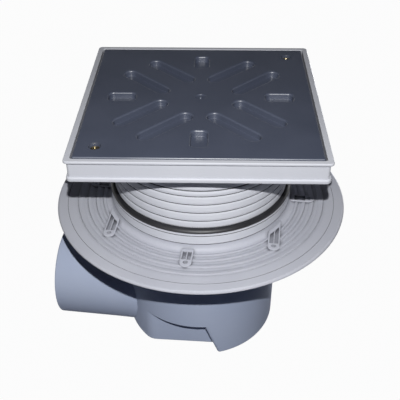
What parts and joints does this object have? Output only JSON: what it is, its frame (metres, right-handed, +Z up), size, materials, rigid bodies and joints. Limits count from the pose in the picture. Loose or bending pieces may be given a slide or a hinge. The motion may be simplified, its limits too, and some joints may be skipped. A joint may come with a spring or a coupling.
{
  "type": "yard drain",
  "caption": "Square-topped yard drain with a height-adjustable ribbed riser, round sealing flange with screw lugs, trapped pot and horizontal pipe outlet.",
  "frame": {"origin": "centre of the round foot's flat underside, on the drain's upright axis", "axes": "+Z up along the drain's axis, -X along the outlet towards its open end, +Y towards the back; the frame and cover stand turned by 6.2 degrees about +Z, as in the picture"},
  "size_m": [0.3283, 0.3176, 0.3093],
  "materials": {
    "light_grey_plastic": "satin moulded",
    "dark_grey_plastic": "satin moulded",
    "black_rubber": "semi-gloss",
    "brass": "machined",
    "white_plastic": "moulded"
  },
  "bodies": {
    "body": {"drain_pot": "light_grey_plastic", "outlet_pipe": "light_grey_plastic", "socket_tube": "light_grey_plastic", "sealing_flange": "light_grey_plastic", "seal_collar": "light_grey_plastic", "trap_gasket": "black_rubber", "trap_tray": "white_plastic", "dip_tube": "white_plastic", "trap_cup": "white_plastic", "dirt_basket": "white_plastic", "basket_floor": "white_plastic", "basket_feet": "white_plastic"},
    "seal": {"lip_seal": "black_rubber"},
    "riser": {"top_frame": "light_grey_plastic", "ribbed_neck": "light_grey_plastic", "cover_plate": "dark_grey_plastic", "cover_screws": "brass", "thread_inserts": "brass"},
    "handle": {"basket_handle": "white_plastic"}
  },
  "joints": [
    {"name": "riser_turn", "type": "hinge", "parent": "body", "child": "seal", "pos_m": [0, 0, 0.2], "axis": [0, 0, 1], "continuous": true},
    {"name": "riser_height", "type": "slide", "parent": "seal", "child": "riser", "axis": [0, 0, 1], "range_m": [-0.052, 0.012]},
    {"name": "handle_swing", "type": "hinge", "parent": "body", "child": "handle", "pos_m": [0, 0, 0.1548], "axis": [0, -1, 0], "range_deg": [0, 180]}
  ]
}
